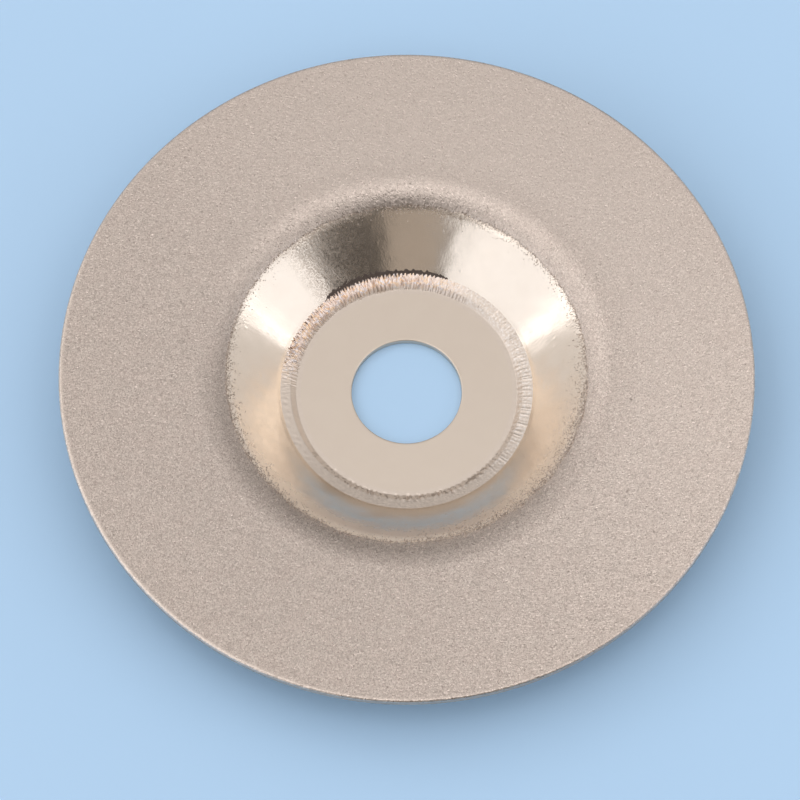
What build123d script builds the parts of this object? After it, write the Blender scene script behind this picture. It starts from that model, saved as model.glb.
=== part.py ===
from build123d import *
from math import cos, radians, sin
import os

# A dished diamond grinding wheel for a 100 mm angle grinder, in millimetres: a pressed
# steel core, the nickel layers plated onto it and the grit that the nickel holds.
# The origin is on the bore's axis at the hub's underside, where the wheel rests and
# where the grinder's inner flange bears. +Z runs along the bore towards the grit.

# Driving dimensions
wheel_diameter = 100.0     # over the coated rim
bore_diameter = 16.0       # through the plated bore
steel_thickness = 1.0      # pressed sheet
nickel_thickness = 0.1     # each nickel layer
grit_standout = 0.1        # crystal tips above the nickel that holds them
face_rise = 9.1            # from the floor of the recess up to the bonded face
seat_radius = 16.1         # flat floor of the recess
step_radius = 16.9         # top of the coined step around the floor
step_rise = 0.6            # height of the coined step
band_radius = 18.3         # outer edge of the ledge above the step
band_rise = 0.8            # height of that edge above the floor
cone_angle = 42.5          # slope of the recess wall, in degrees from flat
shoulder_radius = 8.0      # bend between the recess wall and the flange
grit_radius = 26.1         # where the bright recess ends and the grit begins
rim_round = 0.4            # rounded upper corner of the coated rim

# Derived dimensions
wheel_radius = wheel_diameter / 2
bore_radius = bore_diameter / 2
core_radius = wheel_radius - nickel_thickness
core_bore_radius = bore_radius + nickel_thickness
steel_top = nickel_thickness
steel_bottom = steel_top + steel_thickness
wall_thickness = steel_bottom + nickel_thickness
face_z = wall_thickness + face_rise
shoulder_rise = shoulder_radius * (1 - cos(radians(cone_angle)))
cone_rise = face_rise - band_rise - shoulder_rise
overall_height = face_z + grit_standout

# The plated front face in section, from the bore to the rim: floor, coined step, ledge,
# conical wall, rounded shoulder and the flat working flange.
with BuildLine() as front:
    floor = Line((bore_radius, wall_thickness), (seat_radius, wall_thickness))
    coined = Line(floor @ 1, (step_radius, wall_thickness + step_rise))
    ledge = Line(coined @ 1, (band_radius, wall_thickness + band_rise))
    cone = PolarLine(ledge @ 1, cone_rise / sin(radians(cone_angle)), cone_angle)
    shoulder = JernArc(cone @ 1, cone % 1, shoulder_radius, -cone_angle)
    Line(shoulder @ 1, (wheel_radius, face_z))
front_face = front.wires()[0]


def face_at(depth):
    """The front face's line moved down into the sheet, or up where depth is negative."""
    if depth == 0:
        return front_face
    side = Side.RIGHT if depth > 0 else Side.LEFT
    return front_face.offset_2d(abs(depth), side=side, closed=False)


def layer(top, bottom, inner, outer):
    """Section of one layer, between two depths below the front face and two radii."""
    with BuildSketch() as section:
        with BuildLine():
            upper = add(face_at(top)).vertices().sort_by(Axis.X)
            lower = add(face_at(bottom)).vertices().sort_by(Axis.X)
            Line(upper[0], lower[0])
            Line(upper[-1], lower[-1])
        make_face()
        with Locations(((inner + outer) / 2, 0)):
            Rectangle(outer - inner, 3 * overall_height, mode=Mode.INTERSECT)
    return section.sketch


def ring(inner, outer, bottom, top):
    """Section of a plain ring between two radii and two heights."""
    with BuildSketch() as section:
        with Locations((inner, bottom)):
            Rectangle(outer - inner, top - bottom, align=(Align.MIN, Align.MIN))
    return section.sketch


def upper_rim_corner(section):
    """The corner of a section that becomes the upper edge of the rim."""
    return section.vertices().group_by(Axis.X)[-1].sort_by(Axis.Y)[-1]


def steel_section():
    """Section of the bare steel sheet, with its upper rim corner rounded."""
    with BuildSketch() as section:
        add(layer(steel_top, steel_bottom, core_bore_radius, core_radius))
        fillet(upper_rim_corner(section), radius=rim_round - nickel_thickness)
    return section.sketch


# Pressed steel core: the blank that carries everything
with BuildPart() as steel_core:
    with BuildSketch(Plane.XZ):
        add(steel_section())
    revolve(axis=Axis.Z)

# Bright nickel on the floor, coined band and conical wall of the recess
with BuildPart() as recess_plating:
    with BuildSketch(Plane.XZ):
        add(layer(0, steel_top, core_bore_radius, grit_radius))
    revolve(axis=Axis.Z)

# Nickel on the underside, carried through the bore
with BuildPart() as back_plating:
    with BuildSketch(Plane.XZ):
        add(layer(steel_bottom, wall_thickness, bore_radius, core_radius))
        add(ring(bore_radius, core_bore_radius, 0, wall_thickness))
    revolve(axis=Axis.Z)

# Matt nickel bond on the flange, wrapped over the rim
with BuildPart() as nickel_bond:
    with BuildSketch(Plane.XZ) as bond_section:
        add(layer(0, wall_thickness, grit_radius, wheel_radius))
        fillet(upper_rim_corner(bond_section), radius=rim_round)
        add(steel_section(), mode=Mode.SUBTRACT)
        add(layer(steel_bottom, wall_thickness, bore_radius, core_radius), mode=Mode.SUBTRACT)
    revolve(axis=Axis.Z)

# Diamond grit: the depth of crystal tips that stands out of the bond
with BuildPart() as diamond_grit:
    with BuildSketch(Plane.XZ):
        add(layer(-grit_standout, 0, grit_radius, wheel_radius - rim_round))
    revolve(axis=Axis.Z)

os.makedirs("parts", exist_ok=True)
for name, piece in (
    ("steel_core", steel_core),
    ("recess_plating", recess_plating),
    ("back_plating", back_plating),
    ("nickel_bond", nickel_bond),
    ("diamond_grit", diamond_grit),
):
    piece.part.label = name
    export_step(piece.part, f"parts/{name}.step")
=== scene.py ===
"""Looks of the dished diamond grinding wheel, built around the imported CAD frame.

The wheel rests on its hub with the grit side up. +Z runs up the bore and -Y is the near
side. Sizes below are in millimetres, as in the CAD, and become metres in the meshes.
Angles around the axis are in degrees anticlockwise from +X, seen from above.
"""
import math

import bpy
import numpy as np
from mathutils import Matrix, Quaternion, Vector


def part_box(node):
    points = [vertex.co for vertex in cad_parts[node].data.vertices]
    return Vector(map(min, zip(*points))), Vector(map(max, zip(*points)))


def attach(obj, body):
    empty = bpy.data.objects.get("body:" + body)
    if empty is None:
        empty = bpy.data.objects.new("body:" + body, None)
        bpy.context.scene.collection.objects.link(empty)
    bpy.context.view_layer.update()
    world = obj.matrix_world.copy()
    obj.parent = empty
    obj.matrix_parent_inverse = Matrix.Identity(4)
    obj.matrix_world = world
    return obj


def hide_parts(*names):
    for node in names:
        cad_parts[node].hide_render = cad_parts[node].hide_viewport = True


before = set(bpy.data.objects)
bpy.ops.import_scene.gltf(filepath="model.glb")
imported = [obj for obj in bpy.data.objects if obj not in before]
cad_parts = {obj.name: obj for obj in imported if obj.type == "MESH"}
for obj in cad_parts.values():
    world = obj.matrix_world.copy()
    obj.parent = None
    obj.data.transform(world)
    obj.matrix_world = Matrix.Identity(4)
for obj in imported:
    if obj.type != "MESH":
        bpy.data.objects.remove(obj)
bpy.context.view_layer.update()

MM = 0.001
TAU = 2 * math.pi

# The wheel's section: sizes that the frame's boxes give, then the CAD's driving dimensions
wheel_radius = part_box("nickel_bond")[1].x / MM
face_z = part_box("nickel_bond")[1].z / MM
grit_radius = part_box("recess_plating")[1].x / MM
grit_top_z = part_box("diamond_grit")[1].z / MM
bore_radius = 8.0
wall_thickness = 1.2
floor_z = wall_thickness
seat_radius = 16.1
step_radius = 16.9
step_rise = 0.6
band_radius = 18.3
band_rise = 0.8
cone_angle = math.radians(42.5)
shoulder_radius = 8.0
rim_round = 0.4

# Where the section changes, worked out as in the CAD
crease_z = floor_z + band_rise
step_slope = step_rise / (step_radius - seat_radius)
ledge_slope = (band_rise - step_rise) / (band_radius - step_radius)
cone_slope = math.tan(cone_angle)
cone_top_z = face_z - shoulder_radius * (1 - math.cos(cone_angle))
cone_top = band_radius + (cone_top_z - crease_z) / cone_slope
shoulder_end = cone_top + shoulder_radius * math.sin(cone_angle)

# Where one visual piece hands over to the next, and the detail that several of them share
floor_join = 15.4
band_middle = 17.3
band_end = 18.8
band_cols = 1600
grit_pitch = 0.15
grit_standout = 0.1


def smooth(edge0, edge1, value):
    """Smooth step from 0 at edge0 to 1 at edge1."""
    t = np.clip((value - edge0) / (edge1 - edge0), 0, 1)
    return t * t * (3 - 2 * t)


def around(theta, degrees, spread):
    """1 in one direction around the axis, fading to 0 at spread degrees either side."""
    return smooth(math.cos(math.radians(spread)), 1, np.cos(theta - math.radians(degrees)))


def band_height(r, shift=0):
    """Height of the recess floor, the coined step, moved outwards by shift, and its ledge."""
    step = np.clip((r - shift - seat_radius) / (step_radius - seat_radius), 0, 1)
    return floor_z + step_rise * step + ledge_slope * np.maximum(r - step_radius, 0)


def wall_height(r):
    """Height of the recess wall, its shoulder and the flange."""
    cone = crease_z + (r - band_radius) * cone_slope
    to_end = np.clip(shoulder_end - r, 0, shoulder_end - cone_top)
    shoulder = face_z - shoulder_radius + np.sqrt(shoulder_radius**2 - to_end**2)
    return np.where(r < cone_top, cone, shoulder)


def waves(x, y, wavelength, seed, count=28):
    """A smooth random field over x and y, about -2 to 2, of one wavelength."""
    rng = np.random.default_rng(seed)
    field = np.zeros_like(x)
    for _ in range(count):
        heading = rng.uniform(0, TAU)
        pitch = wavelength * rng.uniform(0.7, 1.4)
        phase = rng.uniform(0, TAU)
        along = x * math.cos(heading) + y * math.sin(heading)
        field += np.cos(TAU * along / pitch + phase)
    return field / math.sqrt(count / 2)


def polar_grid(rings, cols):
    """Radius and angle at every point of a grid of rings."""
    angles = np.arange(cols) * TAU / cols
    return np.meshgrid(rings, angles, indexing="ij")


def radii(start, end, gap):
    """Evenly spaced radii from start, with end itself as the last."""
    return np.append(np.arange(start, end - 0.3 * gap, gap), end)


def with_underside(r, theta, z, plain, depth):
    """Closes a skin as a thin shell, with a few rings of its plain surface lowered by depth."""
    rows = len(r)
    below = np.unique(np.append(np.arange(0, rows, 12), rows - 1))[::-1]
    lowered = plain[below] - depth
    return np.vstack([r, r[below]]), np.vstack([theta, theta[below]]), np.vstack([z, lowered])


def ring_mesh(name, r, theta, z, material, flat_shaded=False):
    """A closed ring-shaped solid: its rows are rings, and the last joins back to the first."""
    rows, cols = r.shape
    points = np.stack([r * np.cos(theta), r * np.sin(theta), z], axis=-1).reshape(-1, 3) * MM
    row = np.arange(rows)[:, None]
    col = np.arange(cols)[None, :]
    next_row = (row + 1) % rows
    next_col = (col + 1) % cols
    corners = [row * cols + col, next_row * cols + col, next_row * cols + next_col, row * cols + next_col]
    quads = np.stack(corners, axis=-1).reshape(-1, 4)
    mesh = bpy.data.meshes.new(name)
    mesh.vertices.add(len(points))
    mesh.vertices.foreach_set("co", points.astype(np.float32).ravel())
    mesh.loops.add(quads.size)
    mesh.loops.foreach_set("vertex_index", quads.astype(np.int32).ravel())
    mesh.polygons.add(len(quads))
    mesh.polygons.foreach_set("loop_start", np.arange(0, quads.size, 4, dtype=np.int32))
    mesh.update(calc_edges=True)
    mesh.polygons.foreach_set("use_smooth", np.full(len(quads), not flat_shaded))
    if not flat_shaded:
        mesh.set_sharp_from_angle(angle=math.radians(50))
    mesh.validate()
    mesh.materials.append(material)
    piece = bpy.data.objects.new(name, mesh)
    bpy.context.scene.collection.objects.link(piece)
    return piece


# Materials


def new_material(name):
    """A node material with its Principled shader and object coordinates in millimetres."""
    material = bpy.data.materials.new(name)
    material.use_nodes = True
    tree = material.node_tree
    shader = tree.nodes["Principled BSDF"]
    place = tree.nodes.new("ShaderNodeTexCoord")
    scale = tree.nodes.new("ShaderNodeVectorMath")
    scale.operation = "SCALE"
    scale.inputs["Scale"].default_value = 1 / MM
    tree.links.new(place.outputs["Object"], scale.inputs[0])
    return material, tree, shader, scale.outputs[0]


def noise(tree, place, size, detail=2.0, rough=0.5):
    """A noise texture whose features measure about size millimetres."""
    node = tree.nodes.new("ShaderNodeTexNoise")
    node.inputs["Scale"].default_value = 1 / size
    node.inputs["Detail"].default_value = detail
    node.inputs["Roughness"].default_value = rough
    tree.links.new(place, node.inputs["Vector"])
    return node.outputs["Fac"]


def cells(tree, place, size):
    """Random colour for each cell of about size millimetres."""
    node = tree.nodes.new("ShaderNodeTexVoronoi")
    node.inputs["Scale"].default_value = 1 / size
    tree.links.new(place, node.inputs["Vector"])
    return node.outputs["Color"]


def ramp(tree, value, low, high, out_low, out_high):
    """Maps a value from low..high to out_low..out_high, clamped."""
    node = tree.nodes.new("ShaderNodeMapRange")
    node.inputs["From Min"].default_value = low
    node.inputs["From Max"].default_value = high
    node.inputs["To Min"].default_value = out_low
    node.inputs["To Max"].default_value = out_high
    tree.links.new(value, node.inputs["Value"])
    return node.outputs["Result"]


def mix_colours(tree, factor, first, second):
    """Blends two colours, given or linked, by a factor."""
    node = tree.nodes.new("ShaderNodeMix")
    node.data_type = "RGBA"
    tree.links.new(factor, node.inputs["Factor"])
    for socket, colour in ((node.inputs[6], first), (node.inputs[7], second)):
        if isinstance(colour, tuple):
            socket.default_value = (*colour, 1)
        else:
            tree.links.new(colour, socket)
    return node.outputs[2]


def bump(tree, height, distance, strength):
    """A bump of the given depth in millimetres."""
    node = tree.nodes.new("ShaderNodeBump")
    node.inputs["Strength"].default_value = strength
    node.inputs["Distance"].default_value = distance * MM
    tree.links.new(height, node.inputs["Height"])
    return node.outputs["Normal"]


def vector_step(tree, operation, first, second=None):
    """One vector operation on a linked vector and, if given, a fixed one."""
    node = tree.nodes.new("ShaderNodeVectorMath")
    node.operation = operation
    tree.links.new(first, node.inputs[0])
    if second is not None:
        node.inputs[1].default_value = second
    return node.outputs


def towards(tree, place, degrees, low, high):
    """1 where the surface lies towards one direction around the axis, 0 away from it.

    low and high are cosines of the angle from that direction.
    """
    angle = math.radians(degrees)
    flat = vector_step(tree, "MULTIPLY", place, (1, 1, 0))[0]
    unit = vector_step(tree, "NORMALIZE", flat)[0]
    cosine = vector_step(tree, "DOT_PRODUCT", unit, (math.cos(angle), math.sin(angle), 0))["Value"]
    return ramp(tree, cosine, low, high, 0, 1)


def from_axis(tree, place, low, high):
    """0 at one distance from the axis, 1 at another, in millimetres."""
    flat = vector_step(tree, "MULTIPLY", place, (1, 1, 0))[0]
    distance = vector_step(tree, "LENGTH", flat)["Value"]
    return ramp(tree, distance, low, high, 0, 1)


def combined(tree, operation, first, second):
    """Two values put together by one arithmetic operation."""
    node = tree.nodes.new("ShaderNodeMath")
    node.operation = operation
    tree.links.new(first, node.inputs[0])
    tree.links.new(second, node.inputs[1])
    return node.outputs[0]


def product(tree, first, second):
    """Two values multiplied."""
    return combined(tree, "MULTIPLY", first, second)


def total(tree, first, second):
    """Two values added."""
    return combined(tree, "ADD", first, second)


def satin_nickel():
    """Champagne nickel with a satin finish: recess floor, bore and underside."""
    material, tree, shader, place = new_material("satin_nickel")
    tone = mix_colours(tree, noise(tree, place, 2.5), (0.66, 0.571, 0.482), (0.68, 0.596, 0.506))
    tree.links.new(tone, shader.inputs["Base Color"])
    shader.inputs["Metallic"].default_value = 1.0
    tree.links.new(ramp(tree, noise(tree, place, 1.2), 0.3, 0.7, 0.31, 0.37), shader.inputs["Roughness"])
    return material


def teeth_highlights(tree, place, plain):
    """Pale straw, pink and blue painted highlights over the teeth at the back of the coined step."""
    which_tint = ramp(tree, noise(tree, place, 0.4), 0.44, 0.58, 0, 1)
    straw_or_blue = mix_colours(tree, which_tint, (0.88, 0.663, 0.48), (0.8, 0.752, 0.768))
    how_pink = ramp(tree, noise(tree, place, 0.8), 0.42, 0.6, 0, 1)
    # Painted highlights: the teeth at the back are mottled paler in straw, pink and blue.
    teeth_highlight_tone = mix_colours(tree, how_pink, straw_or_blue, (0.82, 0.683, 0.605))
    on_teeth = product(tree, towards(tree, place, 118, 0.5, 0.78), from_axis(tree, place, 16.1, 16.8))
    return mix_colours(tree, on_teeth, plain, teeth_highlight_tone)


def ridge_glints(tree, place, tone):
    """Pale flecks painted on the ridges along the right of the coined band, as glints."""
    glint_spots = ramp(tree, noise(tree, place, 0.32), 0.45, 0.65, 0, 0.6)
    on_right = product(tree, towards(tree, place, 15, 0.2, 0.7), from_axis(tree, place, 16.1, 16.5))
    # Painted glints on the ridges at the right.
    return mix_colours(tree, product(tree, glint_spots, on_right), tone, (0.86, 0.812, 0.768))


def front_band_shade(tree, place, tone):
    """Painted shade: the front of the coined band is painted a darker brown, darker still in its nicks."""
    near_front = product(tree, towards(tree, place, -85, 0.3, 0.8), from_axis(tree, place, 16.1, 16.3))
    shade_amount = ramp(tree, noise(tree, place, 0.5), 0.3, 0.7, 0.15, 0.45)
    # Painted shade over the front of the band.
    tone = mix_colours(tree, product(tree, near_front, shade_amount), tone, (0.30, 0.25, 0.21))
    in_nicks = product(tree, near_front, from_axis(tree, place, 17.2, 16.8))
    # Painted shade, darker, in the band's nicks at the front.
    nick_shade = product(tree, in_nicks, ramp(tree, noise(tree, place, 0.6, 1.0), 0.54, 0.62, 0, 0.6))
    return mix_colours(tree, nick_shade, tone, (0.17, 0.13, 0.10))


def coined_nickel():
    """Satin nickel of the coined band, with painted highlights on the teeth, painted glints on the ridges
    and painted shade over the front, in turn around it.
    """
    material, tree, shader, place = new_material("coined_nickel")
    plain = mix_colours(tree, noise(tree, place, 0.5), (0.64, 0.552, 0.472), (0.7, 0.616, 0.534))
    # Painted highlights at the back, painted glints at the right and painted shade at the front.
    tone = teeth_highlights(tree, place, plain)
    tone = ridge_glints(tree, place, tone)
    tone = front_band_shade(tree, place, tone)
    tree.links.new(tone, shader.inputs["Base Color"])
    at_back = towards(tree, place, 105, 0.3, 0.7)
    at_front = towards(tree, place, 275, 0.3, 0.7)
    riser = product(tree, from_axis(tree, place, 15.9, 16.2), from_axis(tree, place, 17.3, 16.9))
    dull = product(tree, total(tree, at_back, at_front), riser)
    tree.links.new(ramp(tree, dull, 0, 1, 1, 0.4), shader.inputs["Metallic"])
    tree.links.new(ramp(tree, noise(tree, place, 0.6), 0.3, 0.7, 0.32, 0.42), shader.inputs["Roughness"])
    return material


def bright_nickel():
    """Bright champagne nickel of the recess wall, with a painted dark reflection near the front and frosted
    at the back.
    """
    material, tree, shader, place = new_material("bright_nickel")
    tone = mix_colours(tree, noise(tree, place, 3.0), (0.79, 0.693, 0.59), (0.83, 0.738, 0.638))
    middle = product(tree, from_axis(tree, place, 19.5, 22), from_axis(tree, place, 25.2, 24.4))
    # Painted dark reflection: the middle of the wall is painted darker brown towards the front.
    front_dark_reflection = product(tree, middle, towards(tree, place, 270, 0.74, 0.98))
    tone = mix_colours(tree, front_dark_reflection, tone, (0.66, 0.535, 0.432))
    speck = ramp(tree, cells(tree, place, 0.15), 0.35, 0.65, 0, 1)
    frosted = product(tree, speck, towards(tree, place, 119, 0.955, 0.99))
    tone = mix_colours(tree, frosted, tone, (0.62, 0.525, 0.437))
    tree.links.new(tone, shader.inputs["Base Color"])
    shader.inputs["Metallic"].default_value = 1.0
    gloss = ramp(tree, noise(tree, place, 0.8), 0.3, 0.7, 0.17, 0.22)
    near_side = ramp(tree, towards(tree, place, 275, 0.1, 0.8), 0, 1, 0.04, 0.22)
    rough = total(tree, gloss, product(tree, near_side, from_axis(tree, place, 22.2, 25.4)))
    speckled = total(tree, rough, ramp(tree, frosted, 0, 1, 0, 0.12))
    tree.links.new(speckled, shader.inputs["Roughness"])
    tree.links.new(bump(tree, noise(tree, place, 0.1), 0.0012, 1.0), shader.inputs["Normal"])
    return material


def crease_shade_paint():
    """Dark brown painted shade for the crease at the foot of the wall."""
    material, tree, shader, place = new_material("crease_shade_paint")
    tone = mix_colours(tree, noise(tree, place, 0.3), (0.05, 0.035, 0.028), (0.12, 0.09, 0.075))
    tree.links.new(tone, shader.inputs["Base Color"])
    shader.inputs["Roughness"].default_value = 0.6
    return material


def matt_grit():
    """Nickel-coated crystals, each facet lighter or darker than the next.

    The flange has painted light on its right side, painted shade at the front left and a painted highlight
    on the rim's crown at the lower left; towards the back the facets' contrast is painted weaker.
    """
    material, tree, shader, place = new_material("matt_grit")
    shade = ramp(tree, cells(tree, place, 0.125), 0.22, 0.78, 0, 1)
    facets = mix_colours(tree, shade, (0.43, 0.366, 0.322), (0.71, 0.62, 0.548))
    blush = ramp(tree, noise(tree, place, 2.2, 3.0), 0.35, 0.65, 0, 0.11)
    tone = mix_colours(tree, blush, facets, (0.66, 0.515, 0.451))
    # Painted light: towards the back the facets' light and dark are painted closer to one even tone.
    evened = ramp(tree, towards(tree, place, 90, 0.1, 1.0), 0, 1, 0, 0.5)
    tone = mix_colours(tree, evened, tone, (0.575, 0.497, 0.439))
    on_flange = ramp(tree, from_axis(tree, place, 29.5, 34), 0, 1, 0, 0.25)
    # Painted light: the flange is painted paler on its right side.
    painted_light_right = product(tree, towards(tree, place, 30, -0.5, 1.0), on_flange)
    tone = mix_colours(tree, painted_light_right, tone, (0.75, 0.66, 0.59))
    # Painted shade: the flange darkens towards the front left.
    painted_shade_front_left = ramp(tree, towards(tree, place, 235, -0.4, 1.0), 0, 1, 0, 0.16)
    tone = mix_colours(tree, painted_shade_front_left, tone, (0.10, 0.085, 0.075))
    # Painted highlight: the rim's crown is painted lighter towards the lower left.
    wear_and_highlight = product(tree, from_axis(tree, place, 49.2, 49.7), towards(tree, place, 215, 0.0, 1.6))
    tree.links.new(mix_colours(tree, wear_and_highlight, tone, (0.82, 0.713, 0.624)), shader.inputs["Base Color"])
    shader.inputs["Metallic"].default_value = 1.0
    tree.links.new(ramp(tree, noise(tree, place, 0.4), 0.3, 0.7, 0.25, 0.38), shader.inputs["Roughness"])
    tree.links.new(bump(tree, noise(tree, place, 0.08), 0.02, 0.5), shader.inputs["Normal"])
    return material


def matt_nickel():
    """The bond where it shows bare, down the side of the rim."""
    material, tree, shader, place = new_material("matt_nickel")
    tone = mix_colours(tree, noise(tree, place, 0.3), (0.5, 0.416, 0.355), (0.62, 0.525, 0.451))
    tree.links.new(tone, shader.inputs["Base Color"])
    shader.inputs["Metallic"].default_value = 1.0
    shader.inputs["Roughness"].default_value = 0.5
    tree.links.new(bump(tree, noise(tree, place, 0.12), 0.02, 0.5), shader.inputs["Normal"])
    return material


def pale_floor():
    """Plain pale blue card."""
    material, tree, shader, place = new_material("pale_floor")
    tone = mix_colours(tree, noise(tree, place, 40.0), (0.50, 0.735, 0.99), (0.51, 0.745, 1.0))
    tree.links.new(tone, shader.inputs["Base Color"])
    shader.inputs["Roughness"].default_value = 0.7
    return material


# Pieces


def nick_row(theta, r, count, inner, outer, seed):
    """A row of uneven radial nicks around the hub, each 0 to 1 deep at its middle."""
    rng = np.random.default_rng(seed)
    pitch = TAU / count
    centre = (np.arange(count) + rng.uniform(-0.25, 0.25, count)) * pitch
    width = pitch * rng.uniform(0.3, 0.55, count)
    depth = rng.uniform(0.1, 1.0, count)
    start = inner + rng.uniform(-0.25, 0.25, count)
    stop = outer + rng.uniform(-0.4, 0.3, count)
    near = np.round(theta / pitch).astype(int) % count
    off = (theta - centre[near] + math.pi) % TAU - math.pi
    across = np.clip(1 - np.abs(off) / width[near], 0, 1)
    along = smooth(start[near], start[near] + 0.3, r) * (1 - smooth(stop[near] - 0.4, stop[near], r))
    return depth[near] * across * along


def recess_floor(material):
    """The satin floor of the recess, between the bore's rounded edge and the coined band."""
    r, theta = polar_grid(radii(bore_radius + 0.3, floor_join, 0.3), 600)
    x, y = r * np.cos(theta), r * np.sin(theta)
    level = smooth(bore_radius + 0.3, bore_radius + 1, r) * (1 - smooth(floor_join - 1, floor_join, r))
    z = floor_z - 0.004 * level * (1 + 0.5 * waves(x, y, 5.0, 21))
    return ring_mesh("recess_floor", *with_underside(r, theta, z, band_height(r), 0.1), material)


STREAK_PAIRS = 18


def streaks(theta, r, width, length, seed):
    """A smooth random field stretched along the radius, like the marks of a knurled punch."""
    rng = np.random.default_rng(seed)
    field = np.zeros_like(r)
    for _ in range(2 * STREAK_PAIRS):
        turns = round(TAU * band_middle / (width * rng.uniform(0.7, 1.5)))
        pull = rng.uniform(-1, 1) * TAU / length
        field += np.cos(turns * theta + pull * r + rng.uniform(0, TAU))
    return field / math.sqrt(STREAK_PAIRS)


def coined_band(material):
    """Step and ledge around the floor: notched near the front, toothed at the back."""
    r, theta = polar_grid(radii(floor_join, band_end, 0.065), band_cols)
    x, y = r * np.cos(theta), r * np.sin(theta)
    front = np.maximum(around(theta, -82, 70), 0.25 * around(theta, -15, 60))
    back = around(theta, 118, 70)
    left = around(theta, 180, 70)
    shift = 0.06 * front * streaks(theta, r, 0.8, 60.0, 36)
    shift += 0.1 * back * streaks(theta, r, 0.5, 60.0, 38)
    z = band_height(r, shift)
    z -= 0.13 * front * nick_row(theta, r, 125, 15.9, 17.2, 31)
    riser = smooth(16.0, 16.3, r) * (1 - smooth(16.9, 17.3, r))
    z += 0.022 * front * riser * streaks(theta, r, 0.75, 3.0, 39)
    teeth = streaks(theta, r, 0.42, 1.6, 32) + 0.5 * streaks(theta, r, 0.25, 1.0, 37)
    z += 0.05 * back * smooth(16.0, 16.3, r) * teeth
    ridges = around(theta, 15, 80) * smooth(16.1, 16.6, r)
    z += 0.085 * ridges * nick_row(theta, r, 200, 16.3, 18.4, 35)
    z += 0.006 * front * smooth(16.9, 17.2, r) * waves(x, y, 0.4, 40)
    z += 0.008 * left * smooth(16.9, 17.8, r) * waves(x, y, 0.9, 33)
    z += 0.0015 * smooth(16, 17, r) * waves(x, y, 0.35, 34)
    return ring_mesh("coined_band", *with_underside(r, theta, z, band_height(r), 0.5), material)


def crease_shade_sheet(material):
    """A dark sheet of painted shade in the crease behind the teeth, whose tips stand through it."""
    r, theta = polar_grid(radii(17.85, 19.25, 0.07), band_cols)
    x, y = r * np.cos(theta), r * np.sin(theta)
    ground = np.where(r < band_radius, band_height(r), wall_height(r))
    edge = 18.6 + 0.1 * waves(x, y, 0.7, 82) + 0.15 * around(theta, 118, 20)
    middle = smooth(17.95, 18.3, r) * (1 - smooth(edge, edge + 0.3, r))
    amount = around(theta, 101, 40) * middle * (0.8 + 0.1 * waves(x, y, 0.6, 81))
    z = ground - 0.06 + 0.1 * amount
    return ring_mesh("crease_shade_sheet", *with_underside(r, theta, z, ground, 0.3), material)


def dimples(x, y, places, seed):
    """Small round pits up to 1 deep at scattered places, each (radius, angle)."""
    rng = np.random.default_rng(seed)
    field = np.zeros_like(x)
    for radius, angle in places:
        size = rng.uniform(0.08, 0.16)
        depth = rng.uniform(0.3, 1.0)
        away = (x - radius * math.cos(angle)) ** 2 + (y - radius * math.sin(angle)) ** 2
        field += depth * np.exp(-away / size**2)
    return field


def recess_wall(material):
    """The bright conical wall, uneven at two scales like any bright-plated pressing."""
    rng = np.random.default_rng(41)
    r, theta = polar_grid(radii(18.1, 26.8, 0.135), 1340)
    x, y = r * np.cos(theta), r * np.sin(theta)
    z = wall_height(r) - 0.006 * (1 + waves(x, y, 3.0, 42))
    z -= 0.03 * (1 - smooth(band_radius, 18.9, r))
    grain = 0.002 + 0.002 * around(theta, 122, 32) + 0.005 * smooth(23.5, 26, r)
    z += grain * rng.normal(0, 1, r.shape) * smooth(18.4, 19.4, r)
    pits = [(rng.uniform(18.8, 25.6), rng.uniform(0, TAU)) for _ in range(70)]
    z -= 0.03 * dimples(x, y, pits, 43)
    return ring_mesh("recess_wall", *with_underside(r, theta, z, wall_height(r), 0.1), material)


CRYSTAL_TIPS = ((1, 0, 0), (0, 1, 0), (0, 0, 1), (-1, 0, 0), (0, -1, 0), (0, 0, -1))
CRYSTAL_FACES = ((0, 1, 2), (1, 3, 2), (3, 4, 2), (4, 0, 2), (1, 0, 5), (3, 1, 5), (4, 3, 5), (0, 4, 5))

STRAY_COUNT = 6500


def stray_places(rng):
    """Where loose crystals stuck to the wall: thick on two sides, a few anywhere else."""
    places = []
    while len(places) < STRAY_COUNT:
        angle = rng.uniform(0, TAU)
        thick = 0.25 + 0.75 * float(around(np.array(angle), -42, 65))
        thick += 0.3 * float(around(np.array(angle), 203, 45))
        inwards = rng.exponential(0.2 + 0.6 * thick)
        if inwards < 6.0 and rng.uniform() < thick:
            places.append((grit_radius - inwards, angle))
    return places


def stray_crystals(material):
    """Single crystals plated to the wall inside the edge of the grit."""
    rng = np.random.default_rng(71)
    points = []
    faces = []
    for radius, angle in stray_places(rng):
        size = rng.uniform(0.05, 0.11)
        height = float(wall_height(radius)) + 0.3 * size
        centre = Vector((radius * math.cos(angle), radius * math.sin(angle), height))
        turn = Quaternion(rng.normal(size=4)).normalized()
        first = len(points)
        for tip in CRYSTAL_TIPS:
            reach = size * rng.uniform(0.7, 1.2)
            points.append((centre + turn @ Vector(tip) * reach) * MM)
        faces += [(first + a, first + b, first + c) for a, b, c in CRYSTAL_FACES]
    mesh = bpy.data.meshes.new("stray_crystals")
    mesh.from_pydata(points, [], faces)
    mesh.materials.append(material)
    piece = bpy.data.objects.new("stray_crystals", mesh)
    bpy.context.scene.collection.objects.link(piece)
    return piece


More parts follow.
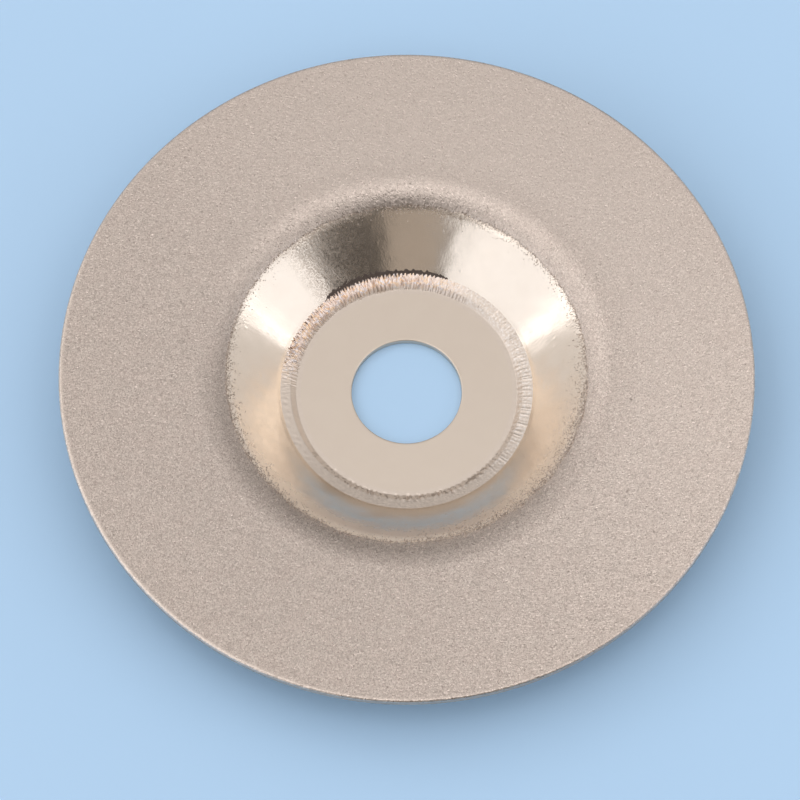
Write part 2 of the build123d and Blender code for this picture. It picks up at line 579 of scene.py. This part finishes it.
def grit_ring(index, inner, outer, material):
    """One ring of the gritty face: every crystal tip stands a little apart from the next."""
    rng = np.random.default_rng(100 + index)
    innermost = index == 0
    tuck = 0.1 if innermost else 2 * grit_pitch
    cols = int(TAU * (inner + outer) / 2 / grit_pitch)
    r, theta = polar_grid(np.arange(inner - tuck, outer + 2 * grit_pitch, grit_pitch), cols)
    wear_and_highlight = 1 - 0.5 * smooth(49.0, 49.5, r)
    lower = np.abs(rng.normal(0, 0.018, r.shape)) * wear_and_highlight
    stand = grit_standout - np.minimum(lower, grit_standout)
    if innermost:
        edge = 0.05 * waves(6 * np.cos(theta), 6 * np.sin(theta), 1.0, 51)
        edge += rng.uniform(-0.12, 0.12, r.shape)
        r = r + edge * (1 - smooth(inner, inner + 1.5, r))
    r = r + rng.uniform(-0.4, 0.4, r.shape) * grit_pitch
    theta = theta + rng.uniform(-0.4, 0.4, r.shape) * TAU / cols
    r = np.minimum(r, wheel_radius - 0.02)
    over_rim = np.clip(r - (wheel_radius - rim_round), 0, rim_round)
    plain = wall_height(r) - rim_round + np.sqrt(rim_round**2 - over_rim**2)
    z = plain + stand * (grit_top_z - face_z) / grit_standout
    z[0] -= 0.08
    z[-1] -= 0.08
    return ring_mesh(f"grit_{index}", *with_underside(r, theta, z, plain, 0.12), material, flat_shaded=True)


def sheet_section():
    """Front-face points of the sheet's bends: radius, height, slope and inside-corner stretch."""
    riser = math.atan(step_slope)
    ledge = math.atan(ledge_slope)
    stations = [(bore_radius + 1, floor_z, 0, 1)]
    stations += [(seat_radius, floor_z, slope, 1) for slope in np.linspace(0, riser, 4)]
    inner_corner = 1 / math.cos((riser - ledge) / 2)
    stations.append((step_radius, floor_z + step_rise, (riser + ledge) / 2, inner_corner))
    stations += [(band_radius, crease_z, slope, 1) for slope in np.linspace(ledge, cone_angle, 5)]
    for slope in np.linspace(cone_angle, 0, 15):
        reach = shoulder_radius * math.sin(slope)
        lift = shoulder_radius * math.cos(slope)
        stations.append((shoulder_end - reach, face_z - shoulder_radius + lift, slope, 1))
    stations.append((wheel_radius - 0.25, face_z, 0, 1))
    return stations


def arc(centre_r, centre_z, radius, start, stop, count=6):
    """Points along an arc of the section, from one angle to another in degrees."""
    angles = np.radians(np.linspace(start, stop, count))
    return [(centre_r + radius * math.cos(a), centre_z + radius * math.sin(a)) for a in angles]


def face_below(depth):
    """The line of the front face moved down into the sheet, from the bore to the rim."""
    points = []
    for r, z, slope, stretch in sheet_section():
        reach = depth * stretch
        points.append((r + reach * math.sin(slope), z - reach * math.cos(slope)))
    return points


def fill_in(points, spacing):
    """The same outline with extra points, so that none are further apart than spacing."""
    filled = []
    for (r0, z0), (r1, z1) in zip(points, points[1:]):
        count = max(1, math.ceil(math.hypot(r1 - r0, z1 - z0) / spacing))
        filled += [(r0 + (r1 - r0) * i / count, z0 + (z1 - z0) * i / count) for i in range(count)]
    return filled + [points[-1]]


def turned(points, cols):
    """Radius, angle and height grids of an outline turned around the axis."""
    outline = np.array(points)
    r, theta = polar_grid(outline[:, 0], cols)
    return r, theta, np.repeat(outline[:, 1:], cols, axis=1)


def back_skin(material):
    """Underside and bore: one nickel skin with softened edges at the bore."""
    skin = 0.08
    top_edge = arc(bore_radius + 0.2, floor_z - 0.2, 0.2, 90, 180)
    low_edge = arc(bore_radius + 0.15, 0.15, 0.15, 180, 270)
    outside = [(bore_radius + 0.35, floor_z)] + top_edge + low_edge + face_below(wall_thickness)
    inside = face_below(wall_thickness - skin)[::-1]
    inside += [(bore_radius + 2 * skin, 2 * skin), (bore_radius + 2 * skin, floor_z - skin)]
    r, theta, z = turned(fill_in(outside, 0.6) + inside, 720)
    return ring_mesh("back_skin", r, theta, z, material)


def rim_edge(material):
    """The bond wrapped over the rim: grainy side, rounded below, rough at the crown."""
    rng = np.random.default_rng(61)
    inner = wheel_radius - 0.7
    path = [(inner, face_z - 0.03)]
    path += arc(wheel_radius - rim_round, face_z - rim_round, rim_round, 90, 0)
    path += arc(wheel_radius - 0.2, face_z - wall_thickness + 0.2, 0.2, 0, -90)
    path += [(inner, face_z - wall_thickness)]
    r, theta, z = turned(fill_in(path, 0.12), 2200)
    r = r - rng.uniform(0, 0.05, r.shape) * smooth(inner + 0.3, wheel_radius - 0.1, r)
    return ring_mesh("rim_edge", r, theta, z, material)


# Stage


def add_floor(material):
    """A plain floor at the height the wheel rests on."""
    half = 3.0
    mesh = bpy.data.meshes.new("floor")
    corners = [(-half, -half, 0), (half, -half, 0), (half, half, 0), (-half, half, 0)]
    mesh.from_pydata(corners, [], [(0, 1, 2, 3)])
    mesh.materials.append(material)
    floor = bpy.data.objects.new("floor", mesh)
    bpy.context.scene.collection.objects.link(floor)


def add_softbox(name, azimuth, elevation, distance, width, height, radiance, colour):
    """A soft light that faces the wheel's middle; angles in degrees, sizes in metres."""
    light = bpy.data.lights.new(name, "AREA")
    light.shape = "RECTANGLE"
    light.size = width
    light.size_y = height
    light.energy = radiance * math.pi * width * height
    light.color = colour
    lamp = bpy.data.objects.new(name, light)
    bpy.context.scene.collection.objects.link(lamp)
    out = Vector((
        math.cos(math.radians(elevation)) * math.cos(math.radians(azimuth)),
        math.cos(math.radians(elevation)) * math.sin(math.radians(azimuth)),
        math.sin(math.radians(elevation)),
    ))
    lamp.location = out * distance
    lamp.rotation_euler = out.to_track_quat("Z", "Y").to_euler()


def add_camera():
    """A long lens from the near side, 68.8 degrees above the floor, a little off centre."""
    elevation = math.radians(68.77)
    distance = 600.0
    focal_ratio = 4121.5 / 800
    back = Vector((0, -math.cos(elevation), math.sin(elevation)))
    up = Vector((0, math.sin(elevation), math.cos(elevation)))
    hub = Vector((0, 0, floor_z))
    aim = hub - Vector((0.96, 0, 0)) - up * 1.24
    data = bpy.data.cameras.new("camera")
    data.sensor_width = 36.0
    data.lens = 36.0 * focal_ratio
    data.clip_start = 0.01
    camera = bpy.data.objects.new("camera", data)
    bpy.context.scene.collection.objects.link(camera)
    camera.location = (hub + back * distance) * MM
    view = (aim * MM - camera.location).normalized()
    camera.rotation_euler = (-view).to_track_quat("Z", "Y").to_euler()
    bpy.context.scene.camera = camera


def add_world():
    """A dim, even studio all around."""
    world = bpy.data.worlds.new("studio")
    bpy.context.scene.world = world
    world.use_nodes = True
    background = world.node_tree.nodes["Background"]
    background.inputs["Color"].default_value = (1.0, 0.92, 0.86, 1)
    background.inputs["Strength"].default_value = 0.1


add_camera()
add_world()
bpy.context.scene.view_settings.view_transform = "Standard"
add_floor(pale_floor())
warm = (1.0, 0.98, 0.985)
cool = (0.97, 0.99, 1.045)
# Azimuth, elevation, distance, width, height, radiance and colour of each soft light
add_softbox("top_panel", 90, 84, 1.9, 1.7, 1.7, 0.85, warm)
add_softbox("zenith", 270, 86, 1.8, 0.72, 0.44, 1.38, warm)
add_softbox("high_left", 185, 55, 1.8, 2.8, 1.0, 1.06, warm)
add_softbox("high_right", 352, 57, 0.55, 0.66, 0.3, 0.87, warm)
add_softbox("high_back", 90, 46, 1.2, 1.6, 0.53, 0.63, warm)
add_softbox("low_back", 105, 15, 0.9, 1.1, 0.36, 0.57, warm)
add_softbox("left_wall", 161, 22, 0.7, 0.68, 0.48, 0.7, warm)
add_softbox("left_box", 211.5, 22, 0.7, 0.85, 0.42, 1.15, cool)
add_softbox("right_box", 341, 22, 0.7, 0.48, 0.42, 1.22, cool)
add_softbox("right_wall", 28, 17, 0.7, 0.9, 0.36, 0.68, warm)
add_softbox("front_card", 266.5, 32, 0.7, 0.34, 0.3, 0.36, (1.0, 0.88, 0.77))

satin = satin_nickel()
grit = matt_grit()

pieces = [
    (recess_floor(satin), "recess_plating", "bright_nickel"),
    (coined_band(coined_nickel()), "recess_plating", "bright_nickel"),
    (recess_wall(bright_nickel()), "recess_plating", "bright_nickel"),
    # A dark sheet of painted shade lies in the crease.
    (crease_shade_sheet(crease_shade_paint()), "recess_plating", "bright_nickel"),
    (back_skin(satin), "back_plating", "back_nickel"),
    (rim_edge(matt_nickel()), "nickel_bond", "matt_nickel"),
    (stray_crystals(grit), "diamond_grit", "diamond_grit"),
]
GRIT_RINGS = 4
ring_width = (wheel_radius - grit_radius) / GRIT_RINGS
for index in range(GRIT_RINGS):
    inner = grit_radius + index * ring_width
    pieces.append((grit_ring(index, inner, inner + ring_width, grit), "diamond_grit", "diamond_grit"))

for piece, node, slot in pieces:
    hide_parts(node)
    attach(piece, "root")

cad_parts["steel_core"].data.materials.clear()
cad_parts["steel_core"].data.materials.append(matt_nickel())
